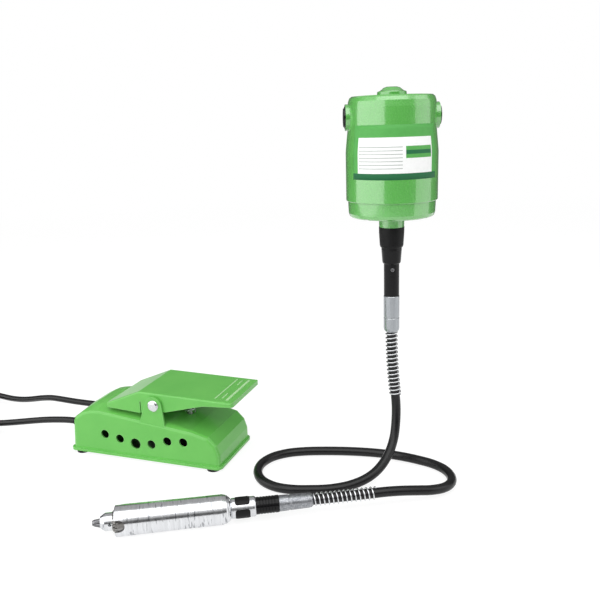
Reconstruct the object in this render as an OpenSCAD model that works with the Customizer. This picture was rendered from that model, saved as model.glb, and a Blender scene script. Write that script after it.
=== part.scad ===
// Hanging rotary tool: a motor on a hook, a flexible drive shaft, a handpiece with a
// keyed three-jaw chuck, and a foot pedal that sets the speed.
// Millimetres. The origin is the mouth of the hanger's threaded hole on top of the motor,
// +Z points up, +X to the motor's right and -Y to its front. The pedal and the handpiece
// lie on a surface at floor_z, and each is modelled in a frame of its own.

/* [Motor] */
// Outside diameter of the motor housing
motor_d = 94; // [88:1:104]
// Height of the housing casting, from its shoulder to the seam
housing_h = 103.4; // [100:0.2:115]
// Height of the lower end bell
bell_h = 17.5; // [17:0.5:26]
// Wall of the motor castings
motor_wall = 3; // [2.5:0.1:4]
// Diameter of the hanger boss on top of the motor
boss_d = 29.5; // [26:0.5:36]
// Height of the hanger boss above the shoulder
boss_h = 8.6; // [8:0.2:12]
// Core diameter of the hanger's threaded hole
hanger_hole_d = 6.8; // [5:0.1:8.6]
// Depth of the hanger's threaded hole
hanger_hole_depth = 9; // [8:0.2:9.6]
// Height of the green nose under the end bell
nose_h = 11; // [8:0.5:14]
// Diameter of a brush cap's head
brush_cap_d = 21; // [18:0.5:23]
// Diameter of the hole for the motor's own lead
inlet_hole_d = 6; // [5:0.5:8]

/* [Motor insides] */
// Diameter of the armature's laminated core
armature_d = 46; // [42:0.5:48]
// Length of the armature and stator cores
core_h = 38; // [32:1:40]
// Air gap between armature and stator
air_gap = 0.5; // [0.3:0.05:0.8]
// Diameter of the commutator
commutator_d = 24; // [20:0.5:26]
// Diameter of the cooling fan
fan_d = 64; // [50:1:66]
// Number of fan blades
fan_blades = 10; // [6:1:14]

/* [Drive line] */
// Diameter of the motor shaft and of the spindle
shaft_d = 8; // [7:0.5:9]
// Diameter of the flexible core
core_wire_d = 4.8; // [4:0.2:5.4]
// Outside diameter of the flexible sheath
sheath_d = 10.2; // [9.6:0.1:10.6]
// Height of the rubber sleeve under the nose
sleeve_h = 21.5; // [19:0.5:30]
// Height of the lock collar under the rubber sleeve
lock_h = 17.5; // [12:0.5:20]
// Height of the bare coupling tube
tube_h = 35.4; // [30:0.2:40]
// Diameter of the coupling tube
tube_d = 16.4; // [15:0.2:17.4]
// Length of the upper ferrule
upper_ferrule_l = 40.1; // [34:0.1:44]
// Diameter of the upper ferrule
upper_ferrule_d = 17; // [16:0.2:18]

/* [Springs] */
// Wire of the two springs that guard the sheath
guard_wire_d = 1.4; // [1:0.1:1.6]
// Pitch of the guard springs
guard_pitch = 4.7; // [3.6:0.1:5]
// Curls of the upper guard spring
upper_turns = 16; // [12:1:18]
// Curls of the lower guard spring
lower_turns = 14; // [10:1:15]
// Wire of the treadle's return spring
return_wire_d = 1.5; // [1:0.1:1.8]
// Curls of the return spring
return_turns = 6; // [4:1:7]

/* [Handpiece] */
// Diameter of the handpiece barrel at its back
barrel_d = 29.4; // [28.8:0.1:30.6]
// Diameter of the barrel at its front rim
barrel_front_d = 30.4; // [29.6:0.1:30.6]
// Length of the barrel
barrel_l = 111.5; // [106:0.5:125]
// Diameter of the joint collar behind the barrel
collar_d = 20; // [18:0.2:21]
// Length of the joint collar
collar_l = 24.5; // [22:0.5:30]
// Number of rubber grip pads on the joint collar
pad_count = 4; // [2:1:6]
// Diameter of the ribbed black sleeve
grip_d = 17; // [15:0.2:18]
// Length of the ribbed black sleeve
grip_l = 22.8; // [18:0.2:26]
// Length of the lower ferrule
lower_ferrule_l = 34.6; // [30:0.2:40]
// Diameter of the lower ferrule at its front
lower_ferrule_d = 16; // [15:0.2:17]

/* [Chuck] */
// Diameter of the chuck's nose
nose_d = 17.5; // [16.5:0.1:18]
// How far the nose stands out of the barrel
nose_out = 14; // [12:0.5:15]
// Diameter of the geared sleeve
chuck_sleeve_d = 24.6; // [24.4:0.1:25]
// Number of bevel teeth on the geared sleeve
tooth_count = 18; // [12:1:22]
// Diameter of a jaw before it is ground
jaw_d = 4.4; // [4:0.1:4.6]
// Slant of each jaw to the chuck's axis
jaw_slant = 11; // [10:0.5:12]
// Travel of each jaw along its slanted hole
jaw_travel = 8; // [5:0.5:8]
// Diameter of the holes that take the chuck key's pilot
key_hole_d = 3; // [2.5:0.1:3.2]
// Radius of the half-round key notches in the barrel's rim
notch_r = 6; // [5:0.1:7]

/* [Bearings] */
// Outside diameter of the four ball bearings
bearing_d = 22; // [21:0.5:22.5]
// Width of the ball bearings
bearing_w = 7; // [6:0.5:7]
// Diameter of a bearing's ball
ball_d = 2.6; // [2:0.1:2.6]

/* [Pedal] */
// Length of the pedal over its bottom flange
pedal_l = 203; // [195:1:230]
// Width of the pedal over its bottom flange
pedal_w = 90; // [84:1:100]
// Height of the pedal housing's hump near its back
hump_h = 59; // [56:1:66]
// Wall of the pedal housing
pedal_wall = 2.2; // [1.8:0.1:3]
// Height of the rubber feet
foot_h = 3.5; // [3:0.5:6]
// Diameter of the rubber feet
foot_d = 17; // [14:0.5:18]
// Diameter of the round vents in the pedal's sides
vent_d = 10.8; // [8:0.2:11.2]
// Diameter of the one larger vent
big_vent_d = 13.4; // [11:0.2:14]
// Rise of the housing's crown, midway between its sides
crown_h = 5; // [0:0.5:5]

/* [Treadle] */
// Distance from the pedal's back to the treadle's pivot
pivot_x = 120; // [114:0.5:126]
// Height of the treadle's pivot over the floor
pivot_h = 72.5; // [71:0.5:76]
// Diameter of the pivot pin
pivot_d = 6; // [5:0.5:7]
// Thickness of the treadle's sheet
treadle_t = 2; // [1.6:0.1:2.4]
// Height of the treadle's ridge over the floor
ridge_h = 87; // [86:0.5:92]
// Length of the treadle over the pedal's front edge
treadle_over = 16; // [8:1:24]
// Travel of the treadle, in degrees
treadle_travel = 14; // [8:1:15]
// Width of the gap between the treadle's skirts and the ears
ear_gap = 0.4; // [0.3:0.1:0.6]

/* [Leads] */
// Outside diameter of the two mains leads
lead_d = 8; // [7:0.2:8.2]
// Gap between neighbouring turns of a coiled lead
turn_gap = 0.6; // [0.5:0.1:1]
// Radius of a coil's innermost turn
coil_r = 33; // [32:0.5:36]
// Diameter of the plug's round pins
pin_d = 4; // [3.8:0.1:4.8]
// Length of the plug's pins
pin_l = 19; // [16:0.5:20]
// Distance between the plug's pins
pin_spacing = 18.6; // [17:0.2:19]

/* [Hidden] */
$fn = 64;

// Clearances: seated pieces, a shaft in its bore, pieces that turn close by
seat = 0.1;
running = 0.06;
clear = 0.3;

// Finishes
green = [0.30, 0.67, 0.24];
dark = [0.13, 0.13, 0.14];
steel = [0.74, 0.75, 0.77];
iron = [0.42, 0.43, 0.45];
copper = [0.72, 0.40, 0.20];
brown = [0.42, 0.25, 0.14];

// Levels of the motor's stack, from the hanger hole's mouth down
z_shoulder = -boss_h;
z_ceiling = z_shoulder - 4;
z_seam = z_shoulder - housing_h;
z_bell = z_seam - bell_h;
z_nose = z_bell - nose_h;
z_sleeve = z_nose - sleeve_h;
z_lock = z_sleeve - lock_h;
z_tube = z_lock - tube_h;
z_ferrule = z_tube - upper_ferrule_l;
floor_z = -415;

motor_r = motor_d / 2;
bore_r = motor_r - motor_wall;
neck_in = 2.2;
bell_r = motor_r - 1.8;
spigot_r = bore_r - seat;
nose_r = 14.2;
nose_bore_r = 9;
shaft_r = shaft_d / 2;
bearing_r = bearing_d / 2;
ball_r = ball_d / 2;
inner_ring_r = shaft_r + 2.1;
ball_circle_r = (bearing_r + inner_ring_r) / 2 - 1.05;
ball_count = 7;
z_top_bearing = z_ceiling - bearing_w;
z_low_bearing = z_bell + 4;
z_brush = z_shoulder - 20;
z_core_top = z_brush - 23.5;
z_core_low = z_core_top - core_h;
brush_r = 7.5;
brush_in = commutator_d / 2 + 3;
brush_boss_r = 13;
brush_face_x = motor_r + 0.3;
inlet_y = bore_r - 5.1;
cap_seat = 2.6;
lug_r = 5;
lug_circle = bore_r - 5;
screw_r = 2;
coupling_r = 7;
tube_in_r = 7.8;
core_r = core_wire_d / 2;
sheath_r = sheath_d / 2;
sheath_top = -222;

// A guard spring's rings are set out so that its flat sides still clear the sheath
curl_rings = 8;
curl_flat = cos(180 / curl_rings);
guard_r = (sheath_r + 0.18 + guard_wire_d / 2) / curl_flat;
// How far to the right the sheath and its upper spring hang, at a depth under the ferrule
function bow(depth) = 0.0008 * depth * depth;

// Handpiece frame: its axis lies along its own Z, the front rim is at 0 and +Z leads to the jaws
hand_pos = [-284, -124, floor_z + 15.3];
hand_yaw = 8;
barrel_r = barrel_d / 2;
barrel_front_r = barrel_front_d / 2;
s_collar = -barrel_l;
s_grip = s_collar - collar_l;
s_ferrule = s_grip - grip_l;
s_spring = s_ferrule - lower_ferrule_l;
s_sheath = s_ferrule - 13;
s_front_bearing = -30;
s_back_bearing = s_collar + 17;
collar_spigot_r = 7;
ferrule_spigot_r = 6;
spindle_tail_r = 5.5;
notch_angles = [-83, 37, 157];
notch_depth = 10;

// Chuck: the jaws' centre lines meet the axis ahead of the nose
jaw_r = jaw_d / 2;
jaw_tip = nose_out + 8;
jaw_tip_r = 1.2;
jaw_back = -8;
sleeve_r = chuck_sleeve_d / 2;
sleeve_in_r = 11;
sleeve_back = -17;
sleeve_lip = -2.8;
sleeve_front = 2.6;
bevel_back = -1;
bevel_r = 9.6;
key_hole_z = 4.6;
centre_hole_r = 2;
nut_back = -11;
nut_front = -3;
chuck_back = -20.7;
neck_r = 6.5;
function jaw_line(z) = jaw_tip_r + (jaw_tip - z) * tan(jaw_slant);
function jaw_outer(z) = jaw_line(z) + jaw_r / cos(jaw_slant);

// Pedal frame: X runs from its back to its front, Y from its near side to its far side
pedal_pos = [-386, 58, floor_z];
pedal_yaw = -19.5;
flange_out = 2.5;
flange_h = 3;
body_w = pedal_w - 2 * flange_out;
front_x = pedal_l - flange_out;
base_t = 1.5;
edge_r = 4;
post_r = 5;
posts = [for (x = [13, pedal_l - 13], y = [8.5, pedal_w - 8.5]) [x, y]];
ear_t = 2.5;
ear_y = 3;
skirt_y = ear_y + ear_t + ear_gap;
treadle_w = pedal_w - 2 * skirt_y;
treadle_end = pedal_l + treadle_over;
ridge_x = pivot_x - 20;
plate_slope = 2.5 / (pedal_l + 16 - 100);
function plate_h(x) = ridge_h - (x - ridge_x) * plate_slope;
plunger_x = pivot_x + 24;
plunger_r = 3.3;
dome_r = 7;
head_r = 6;
// Housing top over the length, and the height where the plunger comes through it
top_slope = 0.1067;
function housing_top(x) = hump_h - 1.8 - (x - 60) * top_slope;
function crown(x) = crown_h * (front_x - 35 - x) / (front_x - 95);
spring_base = housing_top(plunger_x) + crown(plunger_x) + 0.6;
plunger_top = plate_h(plunger_x) - treadle_t - clear;
spring_top = plunger_top - 4.6;
return_r = 6.4;
lead_h = 33;
gland_tip = -3;
gland_y = [19, pedal_w - 19];

// Leads and coils, in the pedal frame. The coil's top layer takes the lead from the pedal,
// winds inwards, drops to the lower layer and winds out again.
lead_r = lead_d / 2;
turn_pitch = lead_d + turn_gap;
loop_rings = 24;
layer_h = lead_r + turn_pitch;
mains_turns = 6.25;
outlet_turns = 4.25;
mains_centre = [-168, 19 - coil_outer(mains_turns)];
outlet_centre = [-248, 107 - coil_outer(outlet_turns)];
plug_h = 7;
socket_h = 8.5;
plug_body_l = 36;
socket_body_l = 58;
relief_l = 24;
mains_route = [
    [gland_tip, 19, 33], [-14, 19, 32.7], [-28, 19, 31.4], [-44, 19, 29.4], [-60, 19, 26.8], [-78, 19, 23.4],
    [-98, 19, 19.6], [-116, 19, 16.4], [-134, 19, 13.8], [-148, 19, layer_h],
    [mains_centre[0] + lead_d, 19, layer_h]
];
outlet_route = [
    [gland_tip, 71, 33], [-24, 71, 33], [-44, 71.6, 33], [-64, 73.2, 33], [-82, 76, 32], [-100, 80, 28.6],
    [-118, 84.5, 23.8], [-136, 89, 19], [-154, 93.2, 15.4], [-172, 97.2, 13.3], [-188, 100.6, layer_h],
    [-208, 104.2, layer_h], [-226, 106.6, layer_h], [outlet_centre[0] + lead_d, 107, layer_h]
];

// The sheath's centre line: down from the motor, one loop on the floor, into the handpiece
sheath_route = [
    [0, 0, sheath_top], [0, 0, -240], [0, 0, -255], [0.1, 0, -265], [0.3, 0, -275], [0.7, 0, -285],
    [1.3, 0, -295], [2, 0, -305], [2.9, 0, -315], [3.9, 0, -325], [4.6, 0, -331.5], [5.2, -1.4, -343],
    [4.4, -5, -359], [1.2, -12.5, -375.5], [-5.6, -23, -388.5], [-16, -34.6, -398.4], [-30, -45.4, -404.8],
    [-49, -54, -408.6], [-72, -59.4, -409.8], [-95, -60, -409.8], [-114, -58, -409.8],
    [-132, -51, -409.8], [-146, -37, -409.8], [-152, -18, -409.8], [-149, 1, -409.8],
    [-137, 17, -409.8], [-119, 26, -409.8], [-98, 29, -409.8], [-74, 28.4, -409.8],
    [-50, 26, -409.8], [-27, 22, -409.8], [-5, 16, -409.8], [15, 7.6, -409.8], [32, -2.2, -409.8],
    [45.2, -11.9, -409.8], [55.4, -24.9, -409.8], [59.4, -41, -409.6], [56, -57, -408.4],
    [46, -69.8, -406.6], [31.6, -77.2, -404.6], [16.4, -80.6, -402.6], [2, -83, -401],
    [-11, -85.1, -400.1], [-22, -87, -399.7], [-32, -88.6, -399.7],
    [-58, -92.2, -399.7], [-86, -96.2, -399.7], [-113.6, -100, -399.7]
];

// ---- Functions and modules that the sub-parts share ----

function unit(v) = v / norm(v);
function last(p) = p[len(p) - 1];
function heading(p, i) =
    i == 0 ? unit(p[1] - p[0]) :
    i == len(p) - 1 ? unit(p[i] - p[i - 1]) :
    unit(unit(p[i + 1] - p[i]) + unit(p[i] - p[i - 1]));
function square_to(t, u) = unit(u - (u * t) * t);

// A vector square to the path at each point, turned no more than the path itself turns
function side_vectors(p, first) = [
    for (i = 0, u = square_to(heading(p, 0), first); i < len(p);
         i = i + 1, u = i < len(p) ? square_to(heading(p, i), u) : u) u
];

// A closed tube of radius r with n sides and a ring at each point of the path
module sweep(path, r, n, first = [1, 0, 0]) {
    u = side_vectors(path, first);
    rings = [
        for (i = [0 : len(path) - 1], k = [0 : n - 1])
            let (v = cross(heading(path, i), u[i]))
            path[i] + r * (cos(360 * k / n) * u[i] + sin(360 * k / n) * v)
    ];
    walls = [
        for (i = [0 : len(path) - 2], k = [0 : n - 1])
            let (a = i * n + k, b = i * n + (k + 1) % n)
            each [[a, a + n, b], [b, a + n, b + n]]
    ];
    end = (len(path) - 1) * n;
    caps = [for (k = [1 : n - 2]) each [[0, k, k + 1], [end, end + k + 1, end + k]]];
    polyhedron(points = rings, faces = concat(walls, caps));
}

// A helix about Z from 0 to the given length, with a straight run of one wire at each end
function helix(r, turns, length, wire) =
    let (
        count = turns * curl_rings,
        rise = (length - wire) / count,
        turn = [for (i = [0 : count])
            [r * cos(360 * i / curl_rings), r * sin(360 * i / curl_rings), wire / 2 + i * rise]]
    )
    concat([turn[0] - [0, wire, 0]], turn, [last(turn) + [0, wire, 0]]);

// Radius of a coil at its outer end, and its height where it passes from layer to layer
function coil_outer(turns) = coil_r + turns / 2 * turn_pitch;
function layer_share(a) = a <= -90 ? 1 : a >= 90 ? 0 : (1 - sin(a)) / 2;

// A lead wound inwards on the top layer and outwards on the lower one. It starts heading along
// -X, turns anticlockwise about its centre, and its end rises to the height of what it meets.
function coil(turns, centre, end_h) =
    let (
        half = turns * 180,
        step = 360 / loop_rings,
        wound = [for (s = [0 : step : 2 * half])
            let (a = 90 + s, r = coil_r + turn_pitch * abs(s - half) / 360)
            [centre[0] + r * cos(a), centre[1] + r * sin(a), lead_r + turn_pitch * layer_share(s - half)]],
        away = [-sin(90 + 2 * half), cos(90 + 2 * half), 0],
        lift = [0, 0, end_h - lead_r]
    )
    concat([wound[0] + [lead_d, 0, 0]], wound,
        [last(wound) + 8 * away, last(wound) + 20 * away + lift, last(wound) + 28 * away + lift]);

// The least distance between points of a path that lie at least skip steps apart
function least_gap(p, skip) = min([
    for (i = [0 : len(p) - 1 - skip], j = [i + skip : len(p) - 1]) norm(p[i] - p[j])
]);

module tube(r_out, r_in, low, high) {
    translate([0, 0, low]) difference() {
        cylinder(r = r_out, h = high - low);
        translate([0, 0, -1]) cylinder(r = r_in, h = high - low + 2);
    }
}

module rod(r, low, high) {
    translate([0, 0, low]) cylinder(r = r, h = high - low);
}

// A rod along X
module cross_rod(r, from, to) {
    translate([from, 0, 0]) rotate([0, 90, 0]) cylinder(r = r, h = to - from);
}

// Puts what it is given at each end of the brush line, facing outwards
module both_brushes() {
    for (side = [0, 180]) translate([0, 0, z_brush]) rotate([0, 0, side]) children();
}

module in_hand() {
    translate(hand_pos) rotate([0, 0, hand_yaw]) rotate([0, -90, 0]) children();
}

module in_pedal() {
    translate(pedal_pos) rotate([0, 0, pedal_yaw]) children();
}

// One raceway ring of a ball bearing, with its groove
module outer_race(low) {
    translate([0, 0, low]) difference() {
        tube(bearing_r, ball_circle_r + 0.95, 0, bearing_w);
        translate([0, 0, bearing_w / 2]) groove();
    }
}

module inner_race(low) {
    translate([0, 0, low]) difference() {
        tube(inner_ring_r, shaft_r, 0, bearing_w);
        translate([0, 0, bearing_w / 2]) groove();
    }
}

module groove() {
    rotate_extrude() translate([ball_circle_r, 0]) circle(r = ball_r + seat, $fn = 32);
}

module balls(low) {
    for (i = [0 : ball_count - 1])
        rotate([0, 0, 360 * i / ball_count])
            translate([ball_circle_r, 0, low + bearing_w / 2]) sphere(r = ball_r, $fn = 24);
}

// ---- Motor ----

// The housing is a little narrower around the brushes, and its bore steps in above the stator
module motor_housing() {
    top_r = motor_r - neck_in;
    color(green) difference() {
        union() {
            rotate_extrude($fn = 128) polygon([
                [0, 0], [5.5, 0], [8, -0.7], [boss_d / 2 - 3, -3.6], [boss_d / 2 - 0.6, -4.5],
                [boss_d / 2, -5.2], [boss_d / 2, z_shoulder], [top_r - 4, z_shoulder],
                [top_r - 2, z_shoulder - 1.6], [top_r - 0.8, z_shoulder - 5], [top_r, z_shoulder - 11],
                [top_r, z_brush - 12], [motor_r - 0.4, z_brush - 30], [motor_r, z_brush - 35],
                [motor_r, z_seam + 0.6], [motor_r - 0.6, z_seam], [bore_r, z_seam],
                [bore_r, z_core_top + 0.4], [bore_r - neck_in, z_core_top + 3],
                [bore_r - neck_in, z_ceiling - 8], [bore_r - neck_in - 2, z_ceiling - 2.5],
                [bore_r - neck_in - 7, z_ceiling], [0, z_ceiling]
            ]);
            tube(bearing_r + 3, bearing_r, z_top_bearing - 0.4, z_ceiling + 1);
            both_brushes() cross_rod(brush_boss_r, bore_r - 6, brush_face_x);
            intersection() {
                lugs(lug_r, z_seam + 3.3, z_seam + 17);
                rod(bore_r + 1, z_seam, z_ceiling);
            }
            translate([0, bore_r - 1.5, z_brush - 4]) rotate([-90, 0, 0]) cylinder(r = 9, h = motor_wall + 2.5);
        }
        translate([0, 0, -hanger_hole_depth]) cylinder(d = hanger_hole_d, h = hanger_hole_depth + 1);
        both_brushes() cross_rod(brush_r + seat, bore_r - 7, motor_r + 2);
        both_brushes() cross_rod(brush_cap_d / 2 + clear, brush_face_x - cap_seat, motor_r + 2);
        lugs(screw_r, z_seam, z_seam + 15);
        side_vents();
        translate([0, inlet_y, z_brush - 4]) rotate([-90, 0, 0]) cylinder(r = 5.5, h = motor_wall + 8);
    }
}

// Posts or holes on the end bell's four screw lines
module lugs(r, low, high) {
    for (a = [45 : 90 : 315]) rotate([0, 0, a]) translate([lug_circle, 0, 0]) rod(r, low, high);
}

// One upright air slot under each brush
module side_vents() {
    for (side = [0, 180]) rotate([0, 0, side]) translate([bore_r - 5, 0, z_brush - 25.5]) {
        translate([0, -3, -5]) cube([motor_wall + 7, 6, 10]);
        for (z = [-5, 5]) translate([0, 0, z]) cross_rod(3, 0, motor_wall + 7);
    }
}

module end_bell() {
    color(green) difference() {
        union() {
            rotate_extrude($fn = 128) polygon([
                [nose_bore_r, z_nose], [nose_r - 1.2, z_nose], [nose_r - 1, z_bell - 4], [nose_r, z_bell],
                [bell_r - 7, z_bell], [bell_r - 3.6, z_bell + 0.5], [bell_r - 1.6, z_bell + 1.9],
                [bell_r - 0.6, z_bell + 5], [bell_r, z_seam], [spigot_r, z_seam],
                [spigot_r, z_seam + 3], [spigot_r - 2.2, z_seam + 3], [spigot_r - 2.2, z_low_bearing + 4], [spigot_r - 5, z_low_bearing],
                [bearing_r + 3, z_low_bearing], [bearing_r + 3, z_low_bearing + bearing_w],
                [bearing_r, z_low_bearing + bearing_w], [bearing_r, z_low_bearing],
                [nose_bore_r, z_low_bearing]
            ]);
            intersection() {
                lugs(lug_r, z_bell + 2, z_seam + 3);
                rod(spigot_r - 1, z_bell, z_seam + 4);
            }
        }
        lugs(screw_r + seat, z_bell - 1, z_seam + 4);
        lugs(screw_r + 2, z_bell - 1, z_bell + 4);
        for (a = [0 : 45 : 315]) rotate([0, 0, a]) translate([18, -2, z_bell - 1]) cube([10, 4, 6]);
    }
}

module stator_core() {
    color(iron) translate([0, 0, z_core_low]) linear_extrude(core_h) difference() {
        intersection() {
            circle(r = spigot_r, $fn = 96);
            square([motor_d - 22, motor_d], center = true);
        }
        circle(r = armature_d / 2 + air_gap, $fn = 96);
        for (side = [0, 180]) rotate(side) sector(coil_slot_r, 38);
    }
}

coil_slot_r = armature_d / 2 + 8;

// A flat wedge from the centre, half_angle to each side of +X
module sector(r, half_angle) {
    intersection() {
        circle(r = r, $fn = 96);
        polygon([[0, 0], [2 * r * cos(half_angle), -2 * r * sin(half_angle)],
                 [2 * r * cos(half_angle), 2 * r * sin(half_angle)]]);
    }
}

module field_coils() {
    coil_in = armature_d / 2 + 2;
    coil_out = coil_slot_r - 1;
    color(copper) for (side = [0, 180]) rotate([0, 0, side + 90]) difference() {
        translate([0, 0, z_core_low - 7]) linear_extrude(core_h + 14) difference() {
            half_disc(coil_out, 7);
            circle(r = coil_in, $fn = 96);
        }
        translate([0, 0, z_core_low - clear]) linear_extrude(core_h + 2 * clear) half_disc(coil_out + 1, 34);
    }
}

// The part of a disc that lies more than margin degrees inside its right half
module half_disc(r, margin) {
    intersection() {
        circle(r = r, $fn = 96);
        polygon([[0, 0], [3 * r * sin(margin), -3 * r * cos(margin)], [3 * r, -3 * r],
                 [3 * r, 3 * r], [3 * r * sin(margin), 3 * r * cos(margin)]]);
    }
}

module brush_holders() {
    color(brown) both_brushes() difference() {
        cross_rod(brush_r, brush_in, brush_face_x - cap_seat - 0.2);
        translate([brush_in - 1, -3.4, -4.7]) cube([motor_r, 6.8, 9.4]);
        cross_rod(6.2, motor_r - 6, motor_r);
    }
}

module carbon_brushes() {
    color(dark) both_brushes()
        translate([commutator_d / 2 + 0.15, -3.3, -4.6]) cube([15, 6.6, 9.2]);
}

module brush_springs() {
    color(steel) both_brushes() difference() {
        cross_rod(3, commutator_d / 2 + 15.15, motor_r - 6);
        cross_rod(2.2, commutator_d / 2 + 14, motor_r - 5);
    }
}

module brush_caps() {
    color(dark) both_brushes() difference() {
        union() {
            cross_rod(6, motor_r - 6, motor_r);
            cross_rod(brush_cap_d / 2, brush_face_x - cap_seat, motor_r + 1);
            cross_rod(brush_cap_d / 2 - 1.2, motor_r, motor_r + 2);
        }
        translate([motor_r + 0.4, -1.1, -brush_cap_d / 2]) cube([3, 2.2, brush_cap_d]);
    }
}

module motor_bearing_races() {
    color(steel) {
        outer_race(z_top_bearing);
        outer_race(z_low_bearing);
    }
}

module bell_screws() {
    color(steel) difference() {
        union() {
            lugs(screw_r - 0.02, z_bell + 1, z_seam + 14);
            lugs(3.6, z_bell + 0.8, z_bell + 4);
        }
        for (a = [45 : 90 : 315]) rotate([0, 0, a])
            translate([lug_circle - 4, -0.5, z_bell]) cube([8, 1, 1.8]);
    }
}

// Rubber bush where the motor's own lead comes in
module lead_inlet() {
    color(dark) translate([0, inlet_y, z_brush - 4]) rotate([-90, 0, 0]) difference() {
        union() {
            cylinder(r = 5.5 - running, h = 18);
            cylinder(r = 7.5, h = 2.1);
            translate([0, 0, motor_wall + 6.2]) cylinder(r1 = 7.5, r2 = 5.6, h = 9);
        }
        translate([0, 0, -1]) cylinder(d = inlet_hole_d, h = 20);
    }
}

// ---- Armature and drive coupling ----

module motor_shaft() {
    color(steel) rod(shaft_r, z_nose - 9, z_ceiling - clear);
}

module armature_core() {
    color(iron) translate([0, 0, z_core_low]) linear_extrude(core_h) difference() {
        circle(d = armature_d, $fn = 96);
        circle(r = shaft_r);
        for (a = [0 : 30 : 330]) rotate(a) translate([armature_d / 2 - 9, -1.8]) square([10, 3.6]);
    }
}

module armature_windings() {
    color(copper) {
        tube(armature_d / 2 - 2, shaft_r + 2, z_core_top, z_core_top + 7);
        tube(armature_d / 2 - 2, shaft_r + 2, z_core_low - 7, z_core_low);
        for (a = [0 : 30 : 330]) rotate([0, 0, a])
            translate([armature_d / 2 - 8.5, -1.6, z_core_low - 1]) cube([6.5, 3.2, core_h + 2]);
    }
}

module commutator() {
    low = z_brush - 8;
    color(copper) difference() {
        union() {
            tube(commutator_d / 2, shaft_r, low, z_brush + 7.5);
            tube(commutator_d / 2 + 1.5, shaft_r, low - 2, low);
        }
        for (a = [0 : 15 : 345]) rotate([0, 0, a])
            translate([commutator_d / 2 - 0.8, -0.3, low - 3]) cube([4, 0.6, 20]);
    }
}

module cooling_fan() {
    low = z_seam + 3.5;
    color(dark) {
        tube(8, shaft_r, low, low + 9);
        tube(fan_d / 2, shaft_r, low, low + 1.6);
        for (i = [0 : fan_blades - 1]) rotate([0, 0, 360 * i / fan_blades])
            translate([7.5, -0.8, low]) cube([fan_d / 2 - 8.5, 1.6, 8.6]);
    }
}

module motor_inner_rings() {
    color(steel) {
        inner_race(z_top_bearing);
        inner_race(z_low_bearing);
    }
}

module drive_coupling() {
    color(steel) difference() {
        rod(coupling_r, z_nose - 23, z_nose + 3);
        rod(shaft_r, z_nose - 9, z_nose + 4);
        rod(core_r, z_nose - 24, z_nose - 8);
        for (z = [-4, -18]) translate([0, 0, z_nose + z]) rotate([90, 0, 0]) cylinder(r = 1.6, h = 8);
    }
}

module core_motor_end() {
    color(iron) rod(core_r, sheath_top + clear, z_nose - 9 - clear);
}

module rubber_sleeve() {
    color(dark) rotate_extrude() polygon([
        [10.1, z_nose], [13.3, z_nose], [13.2, z_nose - 6], [12.4, z_sleeve + 2.4], [12, z_sleeve + 0.8],
        [11.4, z_sleeve], [10.1, z_sleeve]
    ]);
}

module lock_collar() {
    color(dark) rotate_extrude() polygon([
        [tube_d / 2 + seat, z_sleeve], [10.75, z_sleeve], [10.7, z_sleeve - 3], [9.9, z_lock + 3],
        [9.6, z_lock + 1], [tube_d / 2 + 0.5, z_lock], [tube_d / 2 + seat, z_lock]
    ]);
}

module coupling_tube() {
    color(dark) difference() {
        rotate_extrude() polygon([
            [tube_in_r, z_nose + 7], [nose_bore_r - 0.02, z_nose + 7], [nose_bore_r - 0.02, z_nose],
            [10, z_nose], [10, z_sleeve], [tube_d / 2, z_sleeve], [tube_d / 2, z_tube + 0.6],
            [tube_d / 2 - 0.6, z_tube], [5, z_tube], [5, z_sleeve - 2], [tube_in_r, z_sleeve - 2]
        ]);
        translate([0, 0, z_lock - 6]) rotate([90, 0, 0]) cylinder(r = 2, h = 12);
    }
}

module set_screw() {
    color(steel) translate([0, -5.3, z_lock - 6]) rotate([90, 0, 0]) difference() {
        cylinder(r = 1.98, h = tube_d / 2 - 5.6);
        translate([0, 0, 1]) cylinder(r = 1.1, h = 4, $fn = 6);
    }
}

module upper_ferrule() {
    r = upper_ferrule_d / 2;
    color(steel) rotate_extrude() polygon([
        [core_r + 0.8, z_tube + 6], [4.95, z_tube + 6], [4.95, z_tube], [r - 0.4, z_tube],
        [r, z_tube - 0.5], [r, z_ferrule + 17], [r - 0.4, z_ferrule + 16.6], [r - 0.4, z_ferrule + 15.8],
        [r, z_ferrule + 15.4], [r, z_ferrule + 4], [r - 0.5, z_ferrule + 1.6], [r - 1.8, z_ferrule],
        [sheath_r + seat, z_ferrule], [sheath_r + seat, sheath_top + seat], [core_r + 0.8, sheath_top + seat]
    ]);
}

module upper_spring() {
    length = upper_turns * guard_pitch;
    curls = helix(guard_r, upper_turns, length, guard_wire_d);
    color(steel) translate([0, 0, z_ferrule - 0.25 - length])
        sweep([for (q = curls) q + [bow(length + 0.25 - q[2]), 0, 0]], guard_wire_d / 2, 6);
}

module sheath() {
    color(dark) sweep(sheath_route, sheath_r, 8);
}

// ---- Handpiece ----

module lower_spring() {
    length = lower_turns * guard_pitch;
    color(steel) in_hand() translate([0, 0, s_spring - 0.25 - length])
        sweep(helix(guard_r + 0.25, lower_turns, length, guard_wire_d), guard_wire_d / 2, 6);
}

module lower_ferrule() {
    r = lower_ferrule_d / 2;
    color(steel) in_hand() rotate_extrude() polygon([
        [core_r + 1.6, s_ferrule + 18], [ferrule_spigot_r, s_ferrule + 18], [ferrule_spigot_r, s_ferrule],
        [r - 0.4, s_ferrule], [r, s_ferrule - 0.5], [r - 0.2, s_ferrule - 10], [r - 0.6, s_ferrule - 10.5],
        [r - 0.6, s_ferrule - 11.5], [r - 0.3, s_ferrule - 12], [r - 0.7, s_spring + 4],
        [r - 1.2, s_spring + 1.4], [r - 2.4, s_spring], [sheath_r + seat, s_spring],
        [sheath_r + seat, s_sheath + seat], [core_r + 1.6, s_sheath + seat]
    ]);
}

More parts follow.
